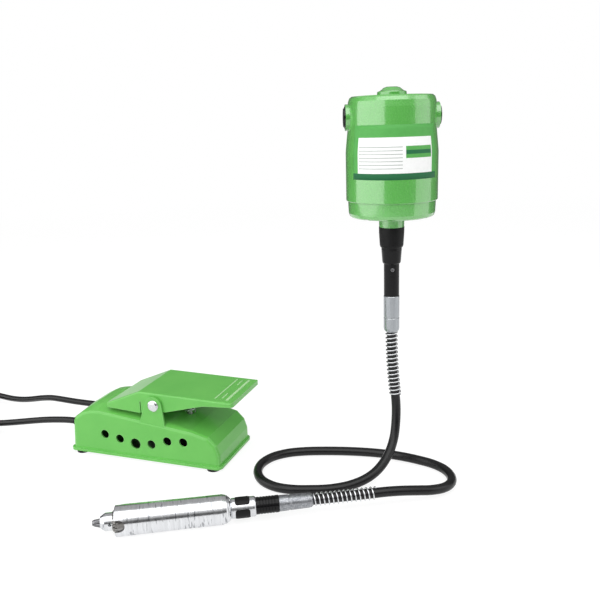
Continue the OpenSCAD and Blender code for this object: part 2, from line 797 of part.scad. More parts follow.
module ribbed_sleeve() {
    r = grip_d / 2;
    rib = (grip_l - 2) / 7;
    color(dark) in_hand() difference() {
        tube(r, ferrule_spigot_r + 0.02, s_ferrule, s_grip);
        for (i = [1 : 6]) translate([0, 0, s_ferrule + 1 + i * rib]) rotate_extrude()
            translate([r, 0]) circle(r = 0.45, $fn = 16);
    }
}

module joint_collar() {
    r = collar_d / 2;
    color(steel) in_hand() difference() {
        rotate_extrude() polygon([
            [collar_spigot_r - 0.9, s_collar + 12], [collar_spigot_r - 0.05, s_collar + 12],
            [collar_spigot_r - 0.05, s_collar], [r - 0.8, s_collar], [r, s_collar - 0.8],
            [r, s_grip + 1.4], [r - 0.5, s_grip + 0.4], [r - 1.2, s_grip], [core_r + 1.6, s_grip],
            [core_r + 1.6, s_collar - 3], [collar_spigot_r - 0.9, s_collar - 3]
        ]);
        pads(0);
    }
}

// Rounded pads set into the joint collar; shrink is their gap to the pockets
module pads(shrink) {
    for (i = [0 : pad_count - 1]) rotate([0, 0, -105 + 360 * i / pad_count])
        intersection() {
            translate([collar_d / 2 - 1.2 + shrink, 0, s_collar - collar_l / 2 + 1]) rotate([0, 90, 0])
                linear_extrude(4) offset(r = 2.4, $fn = 24) square([collar_l - 14.8, 6.2], center = true);
            rod(collar_d / 2 + 0.75, s_grip, s_collar);
        }
}

module grip_pads() {
    color(dark) in_hand() pads(0.02);
}

module handpiece_barrel() {
    color(steel) in_hand() difference() {
        rotate_extrude($fn = 96) polygon([
            [sleeve_r + 0.4, 0], [barrel_front_r - 0.5, 0], [barrel_front_r, -0.6],
            [barrel_r, -barrel_l * 0.6], [barrel_r, s_collar + 8.5], [barrel_r - 0.9, s_collar + 4.6],
            [barrel_r - 2.6, s_collar + 1.7], [barrel_r - 5, s_collar], [collar_spigot_r, s_collar],
            [collar_spigot_r, s_collar + 14], [bearing_r, s_collar + 14], [bearing_r, s_front_bearing + bearing_w + 2],
            [sleeve_r + 0.4, s_front_bearing + bearing_w + 2]
        ]);
        for (a = notch_angles) rotate([0, 0, a]) translate([10, 0, -notch_depth + notch_r]) {
            cross_rod(notch_r, 0, 12);
            translate([0, -notch_r, 0]) cube([12, 2 * notch_r, notch_depth]);
        }
        for (z = [-54, -67, -70.5, -83, -86, -101]) tube(barrel_r + 2, barrel_front_r + (barrel_r - barrel_front_r)
            * min(1, -z / (barrel_l * 0.6)) - 0.2, z - 0.4, z);
    }
}

module spindle_bearing_races() {
    color(steel) in_hand() {
        outer_race(s_front_bearing);
        outer_race(s_back_bearing);
    }
}

// The balls of all four bearings
module bearing_balls() {
    color(steel) {
        balls(z_top_bearing);
        balls(z_low_bearing);
        in_hand() balls(s_front_bearing);
        in_hand() balls(s_back_bearing);
    }
}

module spindle() {
    color(steel) in_hand() difference() {
        union() {
            rod(shaft_r, s_collar + 12, chuck_back + 8);
            rod(spindle_tail_r, s_collar + 4, s_back_bearing - 0.2);
            rod(shaft_r + 1.6, chuck_back - 1.6, chuck_back);
        }
        rod(core_r, s_collar + 3, s_collar + 12);
    }
}

module spindle_inner_rings() {
    color(steel) in_hand() {
        inner_race(s_front_bearing);
        inner_race(s_back_bearing);
    }
}

module core_tool_end() {
    color(iron) in_hand() rod(core_r - 0.02, s_sheath + clear, s_collar + 11.8);
}

// ---- Chuck ----

module jaw_axis(extra_r, back, front) {
    translate([jaw_line(back), 0, back]) rotate([0, -jaw_slant, 0])
        cylinder(r = jaw_r + extra_r, h = (front - back) / cos(jaw_slant));
}

// Turns to each of the three jaws, which lie between the key's pilot holes
module each_jaw() {
    for (i = [0 : 2]) rotate([0, 0, notch_angles[0] + 60 + 120 * i]) children();
}

module chuck_body() {
    r = nose_d / 2;
    color(steel) in_hand() difference() {
        rotate_extrude() polygon([
            [0, nose_out], [r - 2.6, nose_out], [r - 0.6, nose_out - 3], [r, nose_out - 4.4],
            [r, nut_front + 0.4], [jaw_line(nut_front) + 1.4, nut_front],
            [jaw_line(nut_back) + 1.4, nut_back], [neck_r, nut_back], [neck_r, sleeve_back - clear],
            [sleeve_r, sleeve_back - clear], [sleeve_r, chuck_back], [0, chuck_back]
        ]);
        rod(centre_hole_r, nut_back, nose_out + 1);
        rod(shaft_r, chuck_back - 1, chuck_back + 8);
        each_jaw() jaw_axis(0.15, jaw_back - jaw_travel - 1, jaw_tip);
        for (a = notch_angles) rotate([0, 0, a]) translate([0, 0, key_hole_z])
            cross_rod(key_hole_d / 2, 0.4 * centre_hole_r, r + 1);
    }
}

// The geared ring that the chuck key turns
module chuck_sleeve() {
    bevel = atan2(sleeve_r - bevel_r, sleeve_front - bevel_back);
    color(iron) in_hand() difference() {
        rotate_extrude() polygon([
            [sleeve_in_r, sleeve_back], [sleeve_r, sleeve_back], [sleeve_r, bevel_back],
            [bevel_r, sleeve_front], [nose_d / 2 + 0.2, sleeve_front], [nose_d / 2 + 0.2, sleeve_lip], [sleeve_in_r, sleeve_lip]
        ]);
        for (i = [0 : tooth_count - 1]) rotate([0, 0, notch_angles[0] + 360 * (i + 0.5) / tooth_count])
            translate([(sleeve_r + bevel_r) / 2, 0, (sleeve_front + bevel_back) / 2]) rotate([0, -bevel, 0])
                translate([0, 0, -5]) linear_extrude(10)
                    polygon([[-1.4, -0.35], [-1.4, 0.35], [1.2, 1.15], [1.2, -1.15]]);
    }
}

// The split ring whose cone drives the jaws' backs
module chuck_nut() {
    color(iron) in_hand() difference() {
        rotate_extrude() polygon([
            [jaw_outer(nut_back) + clear, nut_back], [sleeve_in_r, nut_back],
            [sleeve_in_r, nut_front], [jaw_outer(nut_front) + clear, nut_front]
        ]);
        translate([-20, -0.2, nut_back - 1]) cube([40, 0.4, 20]);
    }
}

// A jaw is a slanted rod, ground to a wedge that meets its neighbours on the chuck's axis
module jaw(i) {
    color(iron) in_hand() rotate([0, 0, notch_angles[0] + 60 + 120 * i]) intersection() {
        jaw_axis(0, jaw_back, jaw_tip + 1);
        translate([0, 0, jaw_back - 1]) linear_extrude(jaw_tip - jaw_back + 1)
            polygon([[0.25, 0], [14, 13.75 * tan(60)], [14, -13.75 * tan(60)]]);
        rotate_extrude() polygon([
            [0, jaw_tip], [2.3, jaw_tip], [3.6, jaw_tip - 2.5], [jaw_outer(nose_out + 1), nose_out + 1],
            [14, nut_front],
            [14, jaw_back - 2], [0, jaw_back - 2]
        ]);
    }
}

module jaw_1() { jaw(0); }
module jaw_2() { jaw(1); }
module jaw_3() { jaw(2); }

// ---- Pedal ----

// The side profile of the pedal housing, drawn inwards by inset
module pedal_profile(inset) {
    offset(delta = -inset) polygon([
        [flange_out, foot_h - 6], [flange_out + 1, foot_h], [flange_out + 4, 42], [flange_out + 6, 46],
        [19, hump_h - 5.4], [31, hump_h - 1.6], [43, hump_h], [60, housing_top(60)],
        [front_x - 35, housing_top(front_x - 35)], [front_x - 13, housing_top(front_x - 35) - 5.4],
        [front_x - 3.6, housing_top(front_x - 35) - 15], [front_x, foot_h + 16], [front_x, foot_h - 6]
    ]);
}

// A slice of the housing across its width, drawn inwards by inset
module pedal_slice(inset, width) {
    translate([0, pedal_w / 2 + width / 2, 0]) rotate([90, 0, 0])
        linear_extrude(width) pedal_profile(inset);
}

// A block inside the housing whose top carries the crown
module crown_slice(inset, width, rise) {
    top = hump_h + rise - inset;
    translate([0, pedal_w / 2 + width / 2, 0]) rotate([90, 0, 0]) linear_extrude(width)
        polygon([[30, 30], [60, 30], [56, top - 1.8], [43, top], [31, top - 1.8], [22, top - 6.2]]);
}

// The housing's rounded outer form, or its hollow when inset is the wall
module pedal_form(inset) {
    hull() {
        pedal_slice(inset + edge_r, body_w - 2 * inset);
        pedal_slice(inset + 1.2, body_w - 2 * inset - 2.2);
        pedal_slice(inset, body_w - 2 * inset - 2 * edge_r);
        for (s = [[30, 0.64], [54, 0.96]]) crown_slice(inset, body_w - s[0], s[1] * crown_h);
    }
}

module pedal_housing() {
    hollow_w = body_w - 2 * pedal_wall;
    color(green) difference() {
        in_pedal() union() {
            intersection() {
                pedal_form(0);
                translate([-10, -10, foot_h]) cube([pedal_l + 20, pedal_w + 20, 200]);
            }
            translate([0, 0, foot_h]) linear_extrude(flange_h) rounded_box(0, 7);
            for (side = [0, 1]) translate([0, side * pedal_w, 0]) mirror([0, side, 0]) ear();
        }
        in_pedal() difference() {
            intersection() {
                pedal_form(pedal_wall);
                translate([0, 0, foot_h - 1]) cube([pedal_l, pedal_w, 200]);
            }
            for (p = posts) translate([p[0], p[1], foot_h + base_t]) cylinder(r = post_r, h = 18);
        }
        in_pedal() {
            translate([0, 0, foot_h - 1]) linear_extrude(base_t + 1) rounded_box(base_in, 4);
            for (p = posts) translate([p[0], p[1], foot_h]) cylinder(r = 1.6, h = 18);
            translate([0, -1, 0]) rotate([-90, 0, 0]) vents(pedal_w + 2);
            ear_line(pivot_d / 2 + 0.02, -1, pedal_w + 1);
            translate([plunger_x, pedal_w / 2, 30]) cylinder(r = plunger_r + 0.6, h = 40);
            for (y = gland_y) translate([-2, y, lead_h]) cross_rod(7, 0, 16);
        }
    }
}

// How far the base plate lies inside the flange
base_in = flange_out + pedal_wall;

module rounded_box(inset, r) {
    translate([r + inset, r + inset]) offset(r = r, $fn = 32)
        square([pedal_l - 2 * (r + inset), pedal_w - 2 * (r + inset)]);
}

// Six round holes in a shallow curve on each side, drawn along -Z of a frame turned over
module vents(length) {
    rows = [[50.5, 29, vent_d], [71, 25.5, vent_d], [92, 21.8, big_vent_d],
            [113.5, 23.5, vent_d], [135, 30, vent_d], [156, 31.4, vent_d]];
    for (v = rows) translate([v[0], -v[1], 0]) cylinder(d = v[2], h = length);
}

// A rod across the pedal on the pivot's axis
module ear_line(r, from, to) {
    translate([pivot_x, from, pivot_h]) rotate([-90, 0, 0]) cylinder(r = r, h = to - from);
}

module ear() {
    translate([0, ear_y + ear_t, 0]) rotate([90, 0, 0]) linear_extrude(ear_t) hull() {
        translate([pivot_x, pivot_h]) circle(r = 10.5, $fn = 40);
        translate([pivot_x - 21, housing_top(pivot_x - 21) - 7]) square([34, 1]);
    }
}

module pedal_base() {
    color(steel) in_pedal() difference() {
        translate([0, 0, foot_h]) linear_extrude(base_t) rounded_box(base_in + seat, 4);
        for (p = posts) translate([p[0], p[1], 0]) cylinder(r = 1.7, h = 20);
    }
}

module pedal_feet() {
    color(dark) in_pedal() for (p = posts) translate([p[0], p[1], 0]) difference() {
        cylinder(r1 = foot_d / 2 - 0.8, r2 = foot_d / 2, h = foot_h);
        translate([0, 0, -1]) cylinder(r = 1.7, h = 20);
        translate([0, 0, -1]) cylinder(r = 3.6, h = 2.6);
    }
}

module pedal_screws() {
    color(steel) in_pedal() for (p = posts) translate([p[0], p[1], 0]) difference() {
        union() {
            translate([0, 0, 1.6 - 1.2]) cylinder(r = 3.2, h = 1.2);
            translate([0, 0, 1]) cylinder(r = 1.55, h = foot_h + 14);
        }
        translate([-3, -0.4, 0]) cube([6, 0.8, 0.9]);
    }
}

// The regulator on the base plate, with the tower that guides the plunger
module speed_control() {
    low = foot_h + base_t;
    color(brown) in_pedal() difference() {
        union() {
            translate([plunger_x - 34, pedal_w / 2 - 20, low]) cube([58, 40, 20]);
            for (i = [0 : 4]) translate([plunger_x - 31 + 5 * i, pedal_w / 2 - 18, low + 19])
                cube([2, 36, 7]);
            translate([plunger_x, pedal_w / 2, low]) cylinder(r = 7.5, h = 28);
        }
        translate([plunger_x, pedal_w / 2, low + 3]) cylinder(r = plunger_r + 0.1, h = 40);
    }
}

// Rubber strain reliefs where the two leads leave the pedal
module lead_glands() {
    tip_r = lead_r + 0.9;
    color(dark) in_pedal() for (y = gland_y) translate([0, y, lead_h]) difference() {
        union() {
            cross_rod(7 - running, 2, 12);
            cross_rod(8.2, 2.4, 5);
            cross_rod(8.2, 9.4, 12.4);
            translate([gland_tip, 0, 0]) rotate([0, 90, 0]) cylinder(r1 = tip_r, r2 = 6.4, h = 3 - gland_tip);
        }
        translate([-1, 0, 0]) rotate([0, 90, 0]) tube(9, lead_r + 0.7, 0, 1.2);
    }
}

module pivot_pin() {
    r = pivot_d / 2;
    color(steel) in_pedal() {
        ear_line(r, ear_y - 0.5, pedal_w - ear_y + 0.5);
        for (side = [0, 1]) translate([pivot_x, side * pedal_w, pivot_h]) mirror([0, side, 0])
            translate([0, ear_y, 0]) rotate([90, 0, 0]) rotate_extrude()
                polygon([[0, 0], [7, 0], [7, 0.7], [6.4, 1.6], [5, 2.5], [3, 3], [0, 3.1]]);
    }
}

// The treadle's bent sheet: a block with rounded edges, hollowed, and cut to its lower edge
module treadle() {
    color(green) in_pedal() difference() {
        intersection() {
            difference() {
                treadle_form(0);
                treadle_form(treadle_t);
            }
            translate([0, pedal_w, 0]) rotate([90, 0, 0]) linear_extrude(pedal_w) treadle_edge();
        }
        ear_line(pivot_d / 2 + running, -1, pedal_w + 1);
        for (y = [skirt_y - 1, pedal_w - skirt_y - treadle_t - 1])
            translate([ridge_x + 0.6, y, 50]) cube([1.4, treadle_t + 2, 25]);
    }
    color(green) in_pedal() tread_ribs();
}

module treadle_form(inset) {
    bottom = 40 - inset;
    hull() for (s = [[1.8, 0, 3], [0.5, 0.5, 1.6], [0, 1.8, 0.6], [0, 4, 0]])
        let (front = treadle_end - inset - s[2])
        translate([0, pedal_w - skirt_y - inset - s[1], 0]) rotate([90, 0, 0])
            linear_extrude(treadle_w - 2 * inset - 2 * s[1]) offset(delta = -s[0])
                polygon([[55 + inset, bottom], [55 + inset, 68.5 - inset], [ridge_x, ridge_h - inset],
                         [front, plate_h(front) - inset], [front, bottom]]);
}

// Side view of the treadle between its lower edge and a line well above it
module treadle_edge() {
    top = ridge_h + 10;
    front_low = plate_h(treadle_end) - 5.5;
    polygon([[50, 63.5], [ridge_x, 60.5], [ridge_x + 34, 65], [pedal_l - 21, 77.5],
             [treadle_end - 6, front_low + 0.5], [treadle_end + 5, front_low], [treadle_end + 5, top], [50, top]]);
}

// Raised lines that keep the foot from slipping
module tread_ribs() {
    mid = pedal_w / 2;
    ribs = [[treadle_end - 25, mid - 31, 1.4, 62], [treadle_end - 17.5, mid - 28, 1.2, 15],
            [treadle_end - 17.5, mid + 14, 1.2, 15], [treadle_end - 11, mid - 32, 3, 64]];
    for (r = ribs) translate([r[0], r[1], plate_h(r[0] + r[2]) - 0.4]) cube([r[2], r[3], 1]);
}

module plunger() {
    rim = sqrt(dome_r * dome_r - head_r * head_r);
    color(steel) in_pedal() translate([plunger_x, pedal_w / 2, 0]) {
        rod(plunger_r, foot_h + base_t + 3 + 11, spring_top + 1);
        rotate_extrude() polygon(concat(
            [[0, spring_top], [8, spring_top], [8, spring_top + 1.2], [head_r, spring_top + 1.2]],
            [for (a = [asin(head_r / dome_r) : -8 : 1]) [dome_r * sin(a), plunger_top - dome_r + dome_r * cos(a)]],
            [[0, plunger_top]]
        ));
    }
}

module return_spring() {
    length = spring_top - spring_base - 0.5;
    color(steel) in_pedal() translate([plunger_x, pedal_w / 2, spring_base + 0.25])
        sweep(helix(return_r, return_turns, length, return_wire_d), return_wire_d / 2, 6);
}

// ---- Leads ----

module mains_lead() {
    color(dark) in_pedal() sweep(mains_route, lead_r, 8, [0, 0, 1]);
}

module outlet_lead() {
    color(dark) in_pedal() sweep(outlet_route, lead_r, 8, [0, 0, 1]);
}

mains_coil_path = coil(mains_turns, mains_centre, plug_h);
outlet_coil_path = coil(outlet_turns, outlet_centre, socket_h);

module mains_lead_coil() {
    color(dark) in_pedal() sweep(mains_coil_path, lead_r, 6, [0, 0, 1]);
}

module outlet_lead_coil() {
    color(dark) in_pedal() sweep(outlet_coil_path, lead_r, 6, [0, 0, 1]);
}

// A moulded connector on a lead's end: strain relief, then a flat body with bevelled edges
module connector_body(length, half_h) {
    difference() {
        translate([0, 0, 0]) rotate([0, 90, 0]) cylinder(r1 = lead_r + 0.8, r2 = 6.4, h = relief_l + 2);
        for (i = [0 : 3]) rotate([0, 90, 0]) tube(9, lead_r + 0.6, 4 + 4.5 * i, 5.4 + 4.5 * i);
    }
    hull() for (s = [[1.6, 0], [0, 1.8]])
        translate([relief_l, 0, s[1] - half_h]) linear_extrude(2 * (half_h - s[1])) offset(delta = -s[0])
            polygon([[0, -8], [10, -14], [length - 12, -pin_spacing / 2 - 8], [length, -pin_spacing / 2 - 6],
                     [length, pin_spacing / 2 + 6], [length - 12, pin_spacing / 2 + 8], [10, 14], [0, 8]]);
}

// Places a connector at a coil's end, pointing the way that the lead leaves
module at_end(path) {
    in_pedal() translate(last(path)) rotate([0, 0, -90]) children();
}

module mains_plug() {
    color(dark) at_end(mains_coil_path) {
        connector_body(plug_body_l, plug_h - 0.1);
        for (y = [-0.5, 0.5]) translate([relief_l + plug_body_l - 2, y * pin_spacing, 0]) rotate([0, 90, 0]) {
            cylinder(d = pin_d, h = pin_l + 2 - 1);
            translate([0, 0, pin_l + 1]) cylinder(d1 = pin_d, d2 = pin_d - 1.6, h = 1);
        }
    }
}

module inline_socket() {
    color(dark) at_end(outlet_coil_path) difference() {
        connector_body(socket_body_l, socket_h - 0.1);
        for (y = [-0.5, 0.5]) translate([relief_l + socket_body_l - pin_l - 1, y * pin_spacing, 0])
            rotate([0, 90, 0]) cylinder(d = pin_d + 0.4, h = pin_l + 3);
    }
}

echo(guard_spring_gap = least_gap(helix(guard_r, 3, 3 * guard_pitch, guard_wire_d), curl_rings - 1) - guard_wire_d);
echo(return_spring_gap = least_gap(helix(return_r, return_turns, spring_top - spring_base, return_wire_d),
    curl_rings - 1) - return_wire_d);
echo(mains_coil_gap = least_gap(mains_coil_path, loop_rings - 2) - lead_d);
echo(outlet_coil_gap = least_gap(outlet_coil_path, loop_rings - 2) - lead_d);

motor_housing();
end_bell();
stator_core();
field_coils();
brush_holders();
carbon_brushes();
brush_springs();
brush_caps();
motor_bearing_races();
bell_screws();
lead_inlet();
motor_shaft();
armature_core();
armature_windings();
commutator();
cooling_fan();
motor_inner_rings();
drive_coupling();
core_motor_end();
rubber_sleeve();
lock_collar();
coupling_tube();
set_screw();
upper_ferrule();
upper_spring();
sheath();
lower_spring();
lower_ferrule();
ribbed_sleeve();
joint_collar();
grip_pads();
handpiece_barrel();
spindle_bearing_races();
bearing_balls();
spindle();
spindle_inner_rings();
core_tool_end();
chuck_body();
chuck_sleeve();
chuck_nut();
jaw_1();
jaw_2();
jaw_3();
pedal_housing();
pedal_base();
pedal_feet();
pedal_screws();
speed_control();
lead_glands();
pivot_pin();
treadle();
plunger();
return_spring();
mains_lead();
mains_lead_coil();
mains_plug();
outlet_lead();
outlet_lead_coil();
inline_socket();
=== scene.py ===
"""Looks for the hanging rotary tool: camera, materials, cords, springs, label, floor, room and lamps.

Lengths are in metres. Cords, springs and the label's fields are in millimetres, as in the CAD source.
"""
import math

import bpy
from mathutils import Matrix, Vector


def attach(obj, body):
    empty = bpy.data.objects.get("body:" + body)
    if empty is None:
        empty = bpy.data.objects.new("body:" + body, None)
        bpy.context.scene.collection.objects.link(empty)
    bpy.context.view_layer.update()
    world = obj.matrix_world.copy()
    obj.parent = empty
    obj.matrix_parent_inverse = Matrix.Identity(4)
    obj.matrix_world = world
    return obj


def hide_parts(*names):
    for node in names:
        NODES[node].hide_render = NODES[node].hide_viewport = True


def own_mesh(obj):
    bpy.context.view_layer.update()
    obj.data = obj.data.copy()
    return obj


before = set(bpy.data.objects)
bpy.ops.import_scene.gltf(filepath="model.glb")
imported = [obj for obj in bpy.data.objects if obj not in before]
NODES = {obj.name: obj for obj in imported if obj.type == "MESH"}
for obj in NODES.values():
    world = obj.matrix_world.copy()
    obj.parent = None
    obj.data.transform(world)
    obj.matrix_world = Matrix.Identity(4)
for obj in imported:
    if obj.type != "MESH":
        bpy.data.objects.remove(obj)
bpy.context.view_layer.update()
FIXED = "motor_shaft_and_pedal"
FLOOR = -0.415
RAD = math.radians


def turned(at, *turns):
    """A frame at a point, after turns of (degrees, axis) in its own axes."""
    out = Matrix.Translation(at)
    for degrees, axis in turns:
        out = out @ Matrix.Rotation(RAD(degrees), 4, axis)
    return out


# The frames that the handpiece and the pedal are modelled in, as in the CAD source
HAND = turned((-0.284, -0.124, -0.3997), (8, "Z"), (-90, "Y"))
PEDAL = turned((-0.386, 0.058, FLOOR), (-19.5, "Z"))
WORLD = Matrix.Identity(4)


# ---- Camera ----

camera_data = bpy.data.cameras.new("camera")
camera_data.lens = 41.4
camera_data.sensor_width = 36
camera = bpy.data.objects.new("camera", camera_data)
camera.matrix_world = turned((-0.0986, -0.7197, -0.032), (75.6, "X"), (-1.86, "Z"))
bpy.context.collection.objects.link(camera)
bpy.context.scene.camera = camera


# ---- Routes and curves ----

def place(points_mm, where=WORLD):
    """Points in metres in the world's frame, from points in millimetres in a part's frame."""
    return [where @ Vector([c / 1000 for c in p]) for p in points_mm]


def smooth(points, step=0.002):
    """Points, about a step apart, on one centripetal Catmull-Rom curve through the given ones."""
    ends = [points[0] * 2 - points[1]] + points + [points[-1] * 2 - points[-2]]
    out = []
    for a, b, c, d in zip(ends, ends[1:], ends[2:], ends[3:]):
        ta = 0.0
        tb = ta + math.sqrt((b - a).length)
        tc = tb + math.sqrt((c - b).length)
        td = tc + math.sqrt((d - c).length)
        count = max(1, round((c - b).length / step))
        for i in range(count):
            t = tb + (tc - tb) * i / count
            ab = a.lerp(b, (t - ta) / (tb - ta))
            bc = b.lerp(c, (t - tb) / (tc - tb))
            cd = c.lerp(d, (t - tc) / (td - tc))
            abc = ab.lerp(bc, (t - ta) / (tc - ta))
            bcd = bc.lerp(cd, (t - tb) / (td - tb))
            out.append(abc.lerp(bcd, (t - tb) / (tc - tb)))
    return out + [points[-1]]


def curve(name, points, diameter, material, rings):
    """A round line through the points, with more sides for more rings."""
    data = bpy.data.curves.new(name, "CURVE")
    data.dimensions = "3D"
    data.bevel_depth = diameter / 2
    data.bevel_resolution = rings
    data.use_fill_caps = True
    spline = data.splines.new("POLY")
    spline.points.add(len(points) - 1)
    for p, co in zip(spline.points, points):
        p.co = (*co, 1)
    data.materials.append(material)
    piece = bpy.data.objects.new(name, data)
    bpy.context.collection.objects.link(piece)
    return piece


def tube(name, points, diameter, material, rings):
    """A curve that stays with the motor and the pedal."""
    piece = curve(name, points, diameter, material, rings)
    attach(piece, FIXED)
    return piece


# ---- Shader nodes ----

def ranged(tree, value, low, high, out_low, out_high):
    """A value moved from the range low to high onto the range out_low to out_high."""
    node = tree.nodes.new("ShaderNodeMapRange")
    for key, number in (("From Min", low), ("From Max", high), ("To Min", out_low), ("To Max", out_high)):
        node.inputs[key].default_value = number
    tree.links.new(value, node.inputs["Value"])
    return node.outputs["Result"]


# The sockets that a Mix node uses when it mixes colours
MIX_FACTOR, MIX_FIRST, MIX_SECOND, MIX_RESULT = 0, 6, 7, 2
# Cosine between a rounded-off normal and the face's own, on a flat face and at a sharp edge
EDGE_COSINES = (0.99, 0.86)


class Shader:
    """A principled material with a few short ways to add nodes."""

    def __init__(self, name, color, rough, metal=0.0, coat=0.0, specular=0.5, coat_ior=1.5):
        self.material = bpy.data.materials.new(name)
        self.material.use_nodes = True
        self.tree = self.material.node_tree
        self.bsdf = self.tree.nodes["Principled BSDF"]
        self.color = (*color, 1)
        self.normal = None
        for key, value in (("Base Color", self.color), ("Roughness", rough), ("Metallic", metal),
                           ("Coat Weight", coat), ("Coat Roughness", 0.08), ("Coat IOR", coat_ior),
                           ("Specular IOR Level", specular)):
            self.bsdf.inputs[key].default_value = value

    def node(self, kind, **values):
        """A new node; values set its properties, or else its inputs."""
        node = self.tree.nodes.new(kind)
        for key, value in values.items():
            if hasattr(node, key):
                setattr(node, key, value)
            else:
                node.inputs[key.replace("_", " ")].default_value = value
        return node

    def link(self, a, b):
        self.tree.links.new(a, b)

    def coords(self, where=WORLD, scale=(1, 1, 1)):
        """Object coordinates in a part's own frame; a small scale draws a pattern out along that axis."""
        coords = self.node("ShaderNodeTexCoord").outputs["Object"]
        mapping = self.node("ShaderNodeMapping", vector_type="TEXTURE")
        mapping.inputs["Location"].default_value = where.to_translation()
        mapping.inputs["Rotation"].default_value = where.to_euler()
        mapping.inputs["Scale"].default_value = [1 / s for s in scale]
        self.link(coords, mapping.inputs["Vector"])
        return mapping.outputs["Vector"]

    def noise(self, scale, detail, vector=None, distortion=0.0):
        noise = self.node("ShaderNodeTexNoise", Scale=scale, Detail=detail, Distortion=distortion)
        self.link(vector or self.coords(), noise.inputs["Vector"])
        return noise.outputs["Fac"]

    def cells(self, scale):
        """Soft round cells, for hammered paint."""
        cells = self.node("ShaderNodeTexVoronoi", feature="SMOOTH_F1", Scale=scale)
        self.link(self.coords(), cells.inputs["Vector"])
        return cells.outputs["Distance"]

    def tint(self, fac, other, top, low=0.35, high=0.65):
        """Mixes the base colour towards another, by top where fac is over high and not where it is low."""
        mix = self.node("ShaderNodeMix", data_type="RGBA")
        source = self.bsdf.inputs["Base Color"]
        if source.is_linked:
            self.link(source.links[0].from_socket, mix.inputs[MIX_FIRST])
        else:
            mix.inputs[MIX_FIRST].default_value = self.color
        mix.inputs[MIX_SECOND].default_value = (*other, 1)
        self.link(ranged(self.tree, fac, low, high, 0, top), mix.inputs[MIX_FACTOR])
        self.link(mix.outputs[MIX_RESULT], source)

    def vary_rough(self, fac, low, high):
        """Roughness from low to high, by a noise that mostly stays between 0.3 and 0.7."""
        self.link(ranged(self.tree, fac, 0.3, 0.7, low, high), self.bsdf.inputs["Roughness"])

    def bump(self, height, depth):
        """depth is the rise for a height of 1. A second bump adds to the first."""
        bump = self.node("ShaderNodeBump", Strength=1.0, Distance=depth)
        self.link(height, bump.inputs["Height"])
        if self.normal:
            self.link(self.normal, bump.inputs["Normal"])
        self.normal = bump.outputs["Normal"]
        self.link(self.normal, self.bsdf.inputs["Normal"])

    def edge_wear_and_highlight(self, width, color, top):
        """A lighter line along sharp edges: real wear on some materials, a painted highlight on others."""
        bevel = self.node("ShaderNodeBevel", samples=4, Radius=width)
        geometry = self.node("ShaderNodeNewGeometry")
        dot = self.node("ShaderNodeVectorMath", operation="DOT_PRODUCT")
        self.link(bevel.outputs["Normal"], dot.inputs[0])
        self.link(geometry.outputs["Normal"], dot.inputs[1])
        edge = ranged(self.tree, dot.outputs["Value"], *EDGE_COSINES, 0, 1)
        self.tint(edge, color, top, 0.1, 0.9)


def speckled(name, color, rough, specks, grain, **looks):
    """A material with specks (scale, detail, colour, strength) and a fine grain (scale, detail, depth)."""
    shader = Shader(name, color, rough, **looks)
    scale, detail, other, top = specks
    shader.tint(shader.noise(scale, detail), other, top)
    scale, detail, depth = grain
    shader.bump(shader.noise(scale, detail), depth)
    return shader


def dress(shader, *names):
    """Gives CAD pieces their material."""
    for name in names:
        slots = NODES[name].data.materials
        if not slots:
            slots.append(shader.material)
        for i in range(len(slots)):
            slots[i] = shader.material


# ---- Paint ----

DEEP_GREEN = (0.08, 0.41, 0.055)

motor_paint = Shader("motor_paint", (0.10, 0.46, 0.07), 0.22, coat=1.0, specular=1.0, coat_ior=1.8)
motor_paint.tint(motor_paint.noise(900, 2), (0.15, 0.55, 0.11), 0.6, 0.45, 0.7)
motor_paint.tint(motor_paint.noise(45, 2), DEEP_GREEN, 0.3)
motor_paint.bump(motor_paint.cells(620), 0.00022)
motor_paint.bump(motor_paint.noise(1300, 2), 0.00009)

pedal_paint = Shader("pedal_paint", (0.15, 0.53, 0.095), 0.30, coat=0.3, specular=0.4)
pedal_paint.tint(pedal_paint.noise(30, 3), DEEP_GREEN, 0.25)
pedal_paint.bump(pedal_paint.noise(700, 2), 0.00001)
# The pale green line along the pedal's sharp edges is a painted highlight, for rounded edges catching
# light.
pedal_paint.edge_wear_and_highlight(0.0010, (0.36, 0.70, 0.30), 0.7)

# The treadle's top is a plane that falls a little towards its front, and only the tread ribs stand
# over it: their tops get a pale green, a painted highlight for the raised ribs catching light
PLATE_SLOPE = 0.021
RIB_TOPS = (0.0893, 0.0896)
over_plate = pedal_paint.node("ShaderNodeVectorMath", operation="DOT_PRODUCT")
pedal_paint.link(pedal_paint.coords(PEDAL), over_plate.inputs[0])
over_plate.inputs[1].default_value = (PLATE_SLOPE, 0, 1)
pedal_paint.tint(over_plate.outputs["Value"], (0.50, 0.80, 0.42), 0.85, *RIB_TOPS)


# ---- Metals ----

STEEL = (0.80, 0.81, 0.83)

# Turning marks: rings round the barrel's axis, and longer arcs of darker ones
barrel_steel = Shader("barrel_steel", STEEL, 0.16, metal=1.0)
rings = barrel_steel.coords(HAND, (0.02, 0.02, 1))
arcs = barrel_steel.coords(HAND, (0.12, 0.12, 1))
barrel_steel.bump(barrel_steel.noise(900, 4, rings), 0.00004)
barrel_steel.vary_rough(barrel_steel.noise(120, 4, rings), 0.10, 0.26)
barrel_steel.tint(barrel_steel.noise(260, 3, rings), (0.62, 0.63, 0.65), 0.6)
barrel_steel.tint(barrel_steel.noise(480, 2, arcs), (0.30, 0.31, 0.33), 0.8, 0.60, 0.66)

nickel = speckled("nickel", (0.72, 0.73, 0.75), 0.20, (60, 3, (0.60, 0.61, 0.63), 0.4),
                  (1400, 3, 0.00001), metal=1.0)
nickel.vary_rough(nickel.noise(300, 3), 0.14, 0.30)

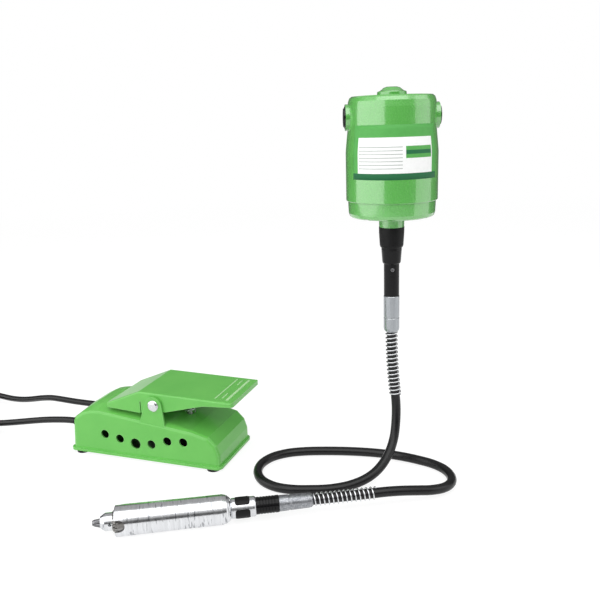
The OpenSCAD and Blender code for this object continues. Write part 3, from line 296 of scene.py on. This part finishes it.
satin_nickel = Shader("satin_nickel", (0.41, 0.43, 0.45), 0.24, metal=1.0)
brushed = satin_nickel.coords(WORLD, (1, 1, 0.04))
satin_nickel.tint(satin_nickel.noise(900, 3, brushed), (0.34, 0.36, 0.38), 0.6)
satin_nickel.bump(satin_nickel.noise(1800, 2, brushed), 0.00003)
# The near-white line along the ferrule's sharp edges is a painted highlight on its rims.
satin_nickel.edge_wear_and_highlight(0.0006, (0.85, 0.86, 0.87), 0.5)

cast_nickel = Shader("cast_nickel", (0.33, 0.34, 0.36), 0.38, metal=1.0)
cast_nickel.tint(cast_nickel.noise(260, 5, distortion=0.6), (0.20, 0.21, 0.23), 0.8, 0.45, 0.62)
cast_nickel.tint(cast_nickel.noise(700, 3), (0.70, 0.71, 0.73), 0.5, 0.5, 0.7)
cast_nickel.bump(cast_nickel.noise(600, 5), 0.00008)

spring_steel = speckled("spring_steel", STEEL, 0.20, (500, 3, (0.55, 0.56, 0.58), 0.5),
                        (2500, 2, 0.00001), metal=1.0)

black_oxide = speckled("black_oxide", (0.19, 0.19, 0.20), 0.34, (700, 3, (0.32, 0.32, 0.33), 0.5),
                       (3000, 2, 0.00001), metal=0.9)
black_oxide.edge_wear_and_highlight(0.0003, (0.55, 0.55, 0.56), 0.9)

# The chuck's gear ring: its dark body stands partly for the shade between the teeth, and the near-white
# line along its edges is a painted highlight on the lit tooth edges.
gear_steel = speckled("gear_steel", (0.17, 0.165, 0.16), 0.30, (500, 3, (0.26, 0.25, 0.24), 0.6),
                      (2000, 2, 0.00001), metal=1.0)
gear_steel.edge_wear_and_highlight(0.0003, (0.95, 0.93, 0.88), 1.0)

zinc = speckled("zinc", (0.62, 0.63, 0.64), 0.32, (90, 3, (0.5, 0.51, 0.53), 0.6),
                (1200, 3, 0.00001), metal=1.0)

# Stacked sheets of the motor's cores
iron = Shader("iron", (0.3, 0.3, 0.31), 0.42, metal=1.0)
sheets = iron.coords(WORLD, (0.001, 0.001, 1))
iron.tint(iron.noise(1800, 1, sheets), (0.14, 0.14, 0.15), 0.7)
iron.bump(iron.noise(1800, 1, sheets), 0.00004)

copper = speckled("copper", (0.62, 0.26, 0.12), 0.28, (300, 3, (0.45, 0.17, 0.07), 0.6),
                  (1500, 3, 0.00002), metal=1.0)


# ---- Rubber and plastics ----

rubber = speckled("rubber", (0.004, 0.004, 0.0045), 0.42, (400, 3, (0.009, 0.009, 0.0095), 0.6),
                  (2500, 3, 0.00002), specular=0.2)
jacket = speckled("jacket", (0.006, 0.006, 0.0065), 0.27, (200, 3, (0.011, 0.011, 0.0115), 0.5),
                  (1800, 3, 0.00001), specular=0.34)
black_gloss = speckled("black_gloss", (0.010, 0.010, 0.011), 0.22, (150, 3, (0.018, 0.018, 0.019), 0.5),
                       (900, 2, 0.00001), specular=0.4)
black_enamel = speckled("black_enamel", (0.004, 0.004, 0.0045), 0.14, (500, 3, (0.008, 0.008, 0.0085), 0.5),
                        (1500, 3, 0.000003), specular=0.22)
phenolic = speckled("phenolic", (0.10, 0.045, 0.022), 0.42, (250, 4, (0.15, 0.07, 0.035), 0.6),
                    (1200, 3, 0.00001))


# ---- Finish of each CAD piece ----

dress(motor_paint, "motor_housing", "end_bell")
dress(pedal_paint, "pedal_housing", "treadle")
dress(barrel_steel, "handpiece_barrel", "chuck_body")
dress(satin_nickel, "upper_ferrule")
dress(cast_nickel, "lower_ferrule")
dress(nickel, "joint_collar", "pivot_pin", "motor_bearing_races", "motor_inner_rings",
      "spindle_bearing_races", "spindle_inner_rings", "bearing_balls")
dress(spring_steel, "brush_springs", "upper_spring", "lower_spring", "return_spring",
      "core_motor_end", "core_tool_end")
dress(gear_steel, "chuck_sleeve")
dress(black_oxide, "chuck_nut", "jaw_1", "jaw_2", "jaw_3", "set_screw")
dress(rubber, "lead_inlet", "rubber_sleeve", "grip_pads", "pedal_feet", "lead_glands", "carbon_brushes")
dress(jacket, "sheath", "mains_lead", "mains_lead_coil", "outlet_lead", "outlet_lead_coil")
dress(black_gloss, "brush_caps", "cooling_fan", "inline_socket", "mains_plug", "speed_control")
dress(black_enamel, "lock_collar", "coupling_tube", "ribbed_sleeve")
dress(zinc, "bell_screws", "pedal_screws", "pedal_base", "plunger", "motor_shaft", "drive_coupling",
      "spindle")
dress(iron, "stator_core", "armature_core")
dress(copper, "field_coils", "armature_windings", "commutator")
dress(phenolic, "brush_holders")


# ---- Cords: points of their middle lines in millimetres, as in the CAD source ----

SHEATH = [
    (0, 0, -222), (0, 0, -240), (0, 0, -255), (0.1, 0, -265), (0.3, 0, -275), (0.7, 0, -285),
    (1.3, 0, -295), (2, 0, -305), (2.9, 0, -315), (3.9, 0, -325), (4.6, 0, -331.5), (5.2, -1.4, -343),
    (4.4, -5, -359), (1.2, -12.5, -375.5), (-5.6, -23, -388.5), (-16, -34.6, -398.4),
    (-30, -45.4, -404.8), (-49, -54, -408.6), (-72, -59.4, -409.8), (-95, -60, -409.8),
    (-114, -58, -409.8), (-132, -51, -409.8), (-146, -37, -409.8), (-152, -18, -409.8),
    (-149, 1, -409.8), (-137, 17, -409.8), (-119, 26, -409.8), (-98, 29, -409.8),
    (-74, 28.4, -409.8), (-50, 26, -409.8), (-27, 22, -409.8), (-5, 16, -409.8), (15, 7.6, -409.8),
    (32, -2.2, -409.8), (45.2, -11.9, -409.8), (55.4, -24.9, -409.8), (59.4, -41, -409.6),
    (56, -57, -408.4), (46, -69.8, -406.6), (31.6, -77.2, -404.6), (16.4, -80.6, -402.6),
    (2, -83, -401), (-11, -85.1, -400.1), (-22, -87, -399.7), (-32, -88.6, -399.7),
    (-58, -92.2, -399.7), (-86, -96.2, -399.7), (-113.6, -100, -399.7),
]
# Height of a coil's top layer
LAYER = 12.6
# How far past its coil a lead leaves the floor, reaches the height of its end, and ends
RUN_OUT = (8, 20, 28)
MAINS = [
    (-3, 19, 33), (-14, 19, 32.7), (-28, 19, 31.4), (-44, 19, 29.4), (-60, 19, 26.8), (-78, 19, 23.4),
    (-98, 19, 19.6), (-116, 19, 16.4), (-134, 19, 13.8), (-148, 19, LAYER), (-160, 19, LAYER),
]
OUTLET = [
    (-3, 71, 33), (-24, 71, 33), (-44, 71.6, 33), (-64, 73.2, 33), (-82, 76, 32), (-100, 80, 28.6),
    (-118, 84.5, 23.8), (-136, 89, 19), (-154, 93.2, 15.4), (-172, 97.2, 13.3), (-188, 100.6, LAYER),
    (-208, 104.2, LAYER), (-226, 106.6, LAYER), (-240, 107, LAYER),
]


def coil(turns, centre_x, start_y, end_h, lead=8.0, gap=0.6, inner=33.0, per_turn=48):
    """A lead wound inwards on a top layer and outwards on a lower one, then out to its end at end_h."""
    pitch = lead + gap
    half = turns * 180
    centre_y = start_y - inner - turns / 2 * pitch
    out = []
    for i in range(round(turns * per_turn) + 1):
        angle = 360 * i / per_turn
        r = inner + pitch * abs(angle - half) / 360
        a = RAD(90 + angle)
        # The step from one layer to the other takes the half turn round the middle
        sunk = max(-90, min(90, angle - half))
        out.append((centre_x + r * math.cos(a), centre_y + r * math.sin(a),
                    lead / 2 + pitch * (1 - math.sin(RAD(sunk))) / 2))
    x, y, _ = out[-1]
    return out + [(x, y - run, h) for run, h in zip(RUN_OUT, (lead / 2, end_h, end_h))]


sheath_line = smooth(place(SHEATH))
sheath = tube("sheath_jacket", sheath_line, diameter=0.0102, material=jacket.material, rings=6)
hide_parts("sheath")

# Each lead's name, its way to the coil, and the coil; then what is at its end
for name, route, coiled, end, on_it, pieces in (
        ("mains", MAINS, coil(turns=6.25, centre_x=-168, start_y=19, end_h=7), "plug", "mains_plug",
         ("mains_lead", "mains_lead_coil")),
        ("outlet", OUTLET, coil(turns=4.25, centre_x=-248, start_y=107, end_h=8.5), "connector",
         "inline_socket", ("outlet_lead", "outlet_lead_coil"))):
    line = smooth(place(route + coiled, PEDAL), step=0.004)
    lead = tube(name + "_lead_jacket", line, diameter=0.008, material=jacket.material, rings=5)
    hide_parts(*pieces)


# ---- Springs, in millimetres ----

SPRING_RINGS = 3
# The guard springs' radius, pitch and wire, and the gap between them and their ferrules
GUARD_R = 6.1
PITCH = 4.7
GUARD_WIRE = 1.4
GUARD_GAP = 0.25
# Ends of the ferrules, the upper one in the world's frame and the lower one in the handpiece's
UPPER_FERRULE = -255.0
LOWER_FERRULE = -193.4
# The pedal's spring: its foot in the pedal's frame, its radius, turns, length at rest and wire
RETURN_FOOT = (144.0, 45.0, 50.106)
RETURN_R = 6.4
RETURN_TURNS = 6
RETURN_LENGTH = 28.82
RETURN_WIRE = 1.5


def helix(r, turns, length, wire, per_turn=24):
    """Points of a coil spring that stands on z = 0 and is as long as given over its wire."""
    count = turns * per_turn
    rise = (length - wire) / count
    angles = [math.tau * i / per_turn for i in range(count + 1)]
    return [(r * math.cos(a), r * math.sin(a), wire / 2 + i * rise) for i, a in enumerate(angles)]


def guard_spring(name, where, ferrule, turns, bow=0.0):
    """bow moves each turn towards +x by the square of its depth below the ferrule, as in the CAD source."""
    low = ferrule - GUARD_GAP - turns * PITCH
    points = [(x + bow * (ferrule - low - rise) ** 2, y, low + rise)
              for x, y, rise in helix(GUARD_R, turns, turns * PITCH, GUARD_WIRE)]
    piece = tube(name + "_coil", place(points, where), GUARD_WIRE / 1000, spring_steel.material,
                 SPRING_RINGS)
    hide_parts(name)


def return_spring():
    """The pedal's spring stands on the housing, a fixed coil at its length at rest."""
    x, y, low = RETURN_FOOT
    points = [(x + a, y + b, low + c)
              for a, b, c in helix(RETURN_R, RETURN_TURNS, RETURN_LENGTH, RETURN_WIRE)]
    line = curve("return_spring_line", place(points, PEDAL), RETURN_WIRE / 1000, spring_steel.material,
                 SPRING_RINGS)
    piece = bpy.data.objects.new("return_spring_coil", bpy.data.meshes.new_from_object(line))
    bpy.data.objects.remove(line)
    bpy.context.collection.objects.link(piece)
    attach(piece, FIXED)
    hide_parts("return_spring")
    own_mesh(piece)


guard_spring("upper_spring", WORLD, UPPER_FERRULE, turns=16, bow=0.0008)
guard_spring("lower_spring", HAND, LOWER_FERRULE, turns=14)
return_spring()


# ---- Label on the motor, in millimetres and degrees ----

HEADER, FIELD, FOOTER, INK = range(4)
LABEL_COLORS = ((0.10, 0.41, 0.09), (0.96, 0.97, 0.96), (0.02, 0.16, 0.06), (0.36, 0.40, 0.37))
# Each field's first and last angle from the label's middle, its top and bottom, and its colour; a later
# field lies on the ones before it
LABEL_FIELDS = [
    (-59.0, 59.0, -36.4, -82.4, HEADER),
    (-50.2, 50.2, -48.2, -82.4, FIELD),
    (-59.0, 59.0, -82.4, -88.6, FOOTER),
    (11.5, 48.5, -56.6, -68.0, HEADER),
    (11.5, 48.5, -60.4, -64.2, FOOTER),
] + [(-48.5, 7.5, -57.0 - 3.4 * i, -57.7 - 3.4 * i, INK) for i in range(7)]
# Direction of the label's middle from the motor's axis, and the angles that bend it round the housing
LABEL_MIDDLE = -92.4
LABEL_STEPS = [3.0 * i for i in range(-19, 20)]
# How far the label stands off the housing, and how thick it is
LABEL_GAP = 0.1
LABEL_THICKNESS = 0.08
# Height and radius of the motor's housing at a few places
HOUSING = [(-30.0, 44.8), (-40.6, 44.8), (-58.6, 46.6), (-63.6, 47.0), (-112.0, 47.0)]


def housing_radius(z):
    for (top, r_top), (low, r_low) in zip(HOUSING, HOUSING[1:]):
        if z >= low:
            return r_top + (r_low - r_top) * (top - z) / (top - low)
    return HOUSING[-1][1]


def label():
    """A rating label with blank fields, wrapped round the motor's front."""
    angles = sorted({a for f in LABEL_FIELDS for a in f[:2]} | set(LABEL_STEPS))
    heights = sorted({z for f in LABEL_FIELDS for z in f[2:4]} | {z for z, _ in HOUSING[1:-1]})
    verts, faces, kinds = [], [], []
    for z in heights:
        r = (housing_radius(z) + LABEL_GAP) / 1000
        for a in angles:
            turn = RAD(LABEL_MIDDLE + a)
            verts.append((r * math.cos(turn), r * math.sin(turn), z / 1000))
    row = len(angles)
    for j, (low, top) in enumerate(zip(heights, heights[1:])):
        for i, (left, right) in enumerate(zip(angles, angles[1:])):
            a, z = (left + right) / 2, (low + top) / 2
            k = j * row + i
            faces.append((k, k + 1, k + 1 + row, k + row))
            kinds.append([f[4] for f in LABEL_FIELDS if f[0] < a < f[1] and f[3] < z < f[2]][-1])
    mesh = bpy.data.meshes.new("rating_label")
    mesh.from_pydata(verts, [], faces)
    for color in LABEL_COLORS:
        paper = speckled("label", color, 0.5, (300, 3, tuple(c * 0.9 for c in color), 0.4),
                         (1200, 2, 0.00001), specular=0.25)
        mesh.materials.append(paper.material)
    for face, kind in zip(mesh.polygons, kinds):
        face.material_index = kind
        face.use_smooth = True
    piece = bpy.data.objects.new("rating_label", mesh)
    bpy.context.collection.objects.link(piece)
    thick = piece.modifiers.new("thickness", "SOLIDIFY")
    thick.thickness = LABEL_THICKNESS / 1000
    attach(piece, FIXED)


label()


# ---- Floor, world and lamps ----

# How far the floor reaches from the origin
FLOOR_SIZE = 6.0
# How much of its light the white paper returns, and the share and level of its own glow as the camera
# sees it and as a reflection shows it
PAPER = 0.9
CAMERA_GLOW = (0.72, 1.17)
TABLE_GLOW = (0.55, 1.15)
# In reflections the paper ends between these two distances from the origin, on a dark floor
TABLE = (1.1, 1.6)
DARK_FLOOR = 0.12
# For the camera it has turned into the plain white backdrop at this distance
BACKDROP = 3.0
# How much of its light the floor throws back onto the object
BOUNCE = 0.65

# The room that metal and paint reflect, in front and behind: how bright it is at a few heights of the
# direction, from -1 (down) to 1 (up)
ROOM = [(-1.0, 0.5), (-0.2, 0.3), (-0.06, 0.12), (0.20, 0.10),
        (0.30, 0.16), (0.44, 0.55), (0.69, 1.0), (1.0, 1.0)]
ROOM_BACK = [(-1.0, 0.3), (0.0, 0.12), (0.45, 0.16), (0.56, 0.42), (1.0, 0.45)]
# The front gives way to the back between these two directions along y
ROOM_TURN = (-0.1, 0.3)
# The even light that the room throws onto the object
ROOM_LIGHT = 0.52

# Name, place, what it points at, width, height and watts
LAMPS = (
    ("left_softbox", (-1.19, -0.53, -0.02), (0, 0, -0.08), 2.2, 1.25, 14),
    ("right_softbox", (1.08, -0.23, -0.02), (0, 0, -0.08), 1.07, 1.5, 5),
    ("top_softbox", (-0.15, -0.75, 1.1), (-0.17, -0.11, -0.4), 2.0, 1.7, 15),
)


def feed(tree, socket, value):
    """Sets a socket to a number, or links the output given instead of one to it."""
    if isinstance(value, float):
        socket.default_value = value
    else:
        tree.links.new(value, socket)


def diffuse(tree, level):
    node = tree.nodes.new("ShaderNodeBsdfDiffuse")
    node.inputs["Color"].default_value = (level, level, level, 1)
    return node.outputs[0]


def shining(tree, level, kind="ShaderNodeEmission"):
    """White light of a level, from a surface or from the world's background."""
    node = tree.nodes.new(kind)
    node.inputs["Color"].default_value = (1, 1, 1, 1)
    feed(tree, node.inputs["Strength"], level)
    return node.outputs[0]


def sky(tree, level):
    return shining(tree, level, "ShaderNodeBackground")


def mixed(tree, factor, first, second):
    """A mix of two shaders; factor is a number or a socket."""
    node = tree.nodes.new("ShaderNodeMixShader")
    feed(tree, node.inputs[0], factor)
    tree.links.new(first, node.inputs[1])
    tree.links.new(second, node.inputs[2])
    return node.outputs[0]


def seen_directly(tree, path):
    """1 for rays that come from the camera, straight or through something clear."""
    node = tree.nodes.new("ShaderNodeMath")
    node.operation = "MAXIMUM"
    tree.links.new(path.outputs["Is Camera Ray"], node.inputs[0])
    tree.links.new(path.outputs["Is Transmission Ray"], node.inputs[1])
    return node.outputs[0]


def graded(tree, height, stops):
    """Levels at a few heights, from -1 to 1, with even steps between them."""
    ramp = tree.nodes.new("ShaderNodeValToRGB")
    while len(ramp.color_ramp.elements) < len(stops):
        ramp.color_ramp.elements.new(0.5)
    for element, (at, level) in zip(ramp.color_ramp.elements, stops):
        element.position = (at + 1) / 2
        element.color = (level, level, level, 1)
    tree.links.new(height, ramp.inputs[0])
    return ramp.outputs[0]


def stage_floor():
    """White to the camera, with the object's shadow; a white table in a dark room to what reflects it."""
    mesh = bpy.data.meshes.new("floor")
    corners = [(-1, -1), (1, -1), (1, 1), (-1, 1)]
    mesh.from_pydata([(x * FLOOR_SIZE, y * FLOOR_SIZE, FLOOR) for x, y in corners], [], [(0, 1, 2, 3)])
    floor = bpy.data.objects.new("floor", mesh)
    bpy.context.collection.objects.link(floor)
    material = bpy.data.materials.new("floor")
    material.use_nodes = True
    tree = material.node_tree
    tree.nodes.clear()
    out = tree.nodes.new("ShaderNodeOutputMaterial")
    path = tree.nodes.new("ShaderNodeLightPath")
    geometry = tree.nodes.new("ShaderNodeNewGeometry")
    reach = tree.nodes.new("ShaderNodeVectorMath")
    reach.operation = "LENGTH"
    tree.links.new(geometry.outputs["Position"], reach.inputs[0])

    def paper(glow):
        share, level = glow
        return mixed(tree, share, diffuse(tree, PAPER), shining(tree, level))

    far = ranged(tree, reach.outputs["Value"], *TABLE, 0.0, 1.0)
    table = mixed(tree, far, paper(TABLE_GLOW), shining(tree, DARK_FLOOR))
    away = ranged(tree, reach.outputs["Value"], TABLE[0], BACKDROP, 0.0, 1.0)
    white = mixed(tree, away, paper(CAMERA_GLOW), shining(tree, 1.0))
    shown = mixed(tree, path.outputs["Is Glossy Ray"], diffuse(tree, BOUNCE), table)
    shown = mixed(tree, seen_directly(tree, path), shown, white)
    tree.links.new(shown, out.inputs["Surface"])
    mesh.materials.append(material)


def studio():
    """White behind the object; a dim studio for its light and for what metal reflects."""
    world = bpy.data.worlds.new("studio")
    world.use_nodes = True
    bpy.context.scene.world = world
    tree = world.node_tree
    tree.nodes.clear()
    out = tree.nodes.new("ShaderNodeOutputWorld")
    path = tree.nodes.new("ShaderNodeLightPath")
    coords = tree.nodes.new("ShaderNodeTexCoord")
    split = tree.nodes.new("ShaderNodeSeparateXYZ")
    tree.links.new(coords.outputs["Generated"], split.inputs[0])
    height = ranged(tree, split.outputs["Z"], -1.0, 1.0, 0.0, 1.0)
    front = sky(tree, graded(tree, height, ROOM))
    back = sky(tree, graded(tree, height, ROOM_BACK))
    room = mixed(tree, ranged(tree, split.outputs["Y"], *ROOM_TURN, 0.0, 1.0), front, back)
    shown = mixed(tree, path.outputs["Is Glossy Ray"], sky(tree, ROOM_LIGHT), room)
    shown = mixed(tree, seen_directly(tree, path), shown, sky(tree, 1.0))
    tree.links.new(shown, out.inputs["Surface"])


def lamp(name, at, target, width, height, watts):
    data = bpy.data.lights.new(name, "AREA")
    data.shape = "RECTANGLE"
    data.size = width
    data.size_y = height
    data.energy = watts
    piece = bpy.data.objects.new(name, data)
    piece.location = at
    piece.rotation_euler = (Vector(target) - Vector(at)).to_track_quat("-Z", "Y").to_euler()
    bpy.context.collection.objects.link(piece)


stage_floor()
studio()
for details in LAMPS:
    lamp(*details)

bpy.context.scene.view_settings.view_transform = "Standard"
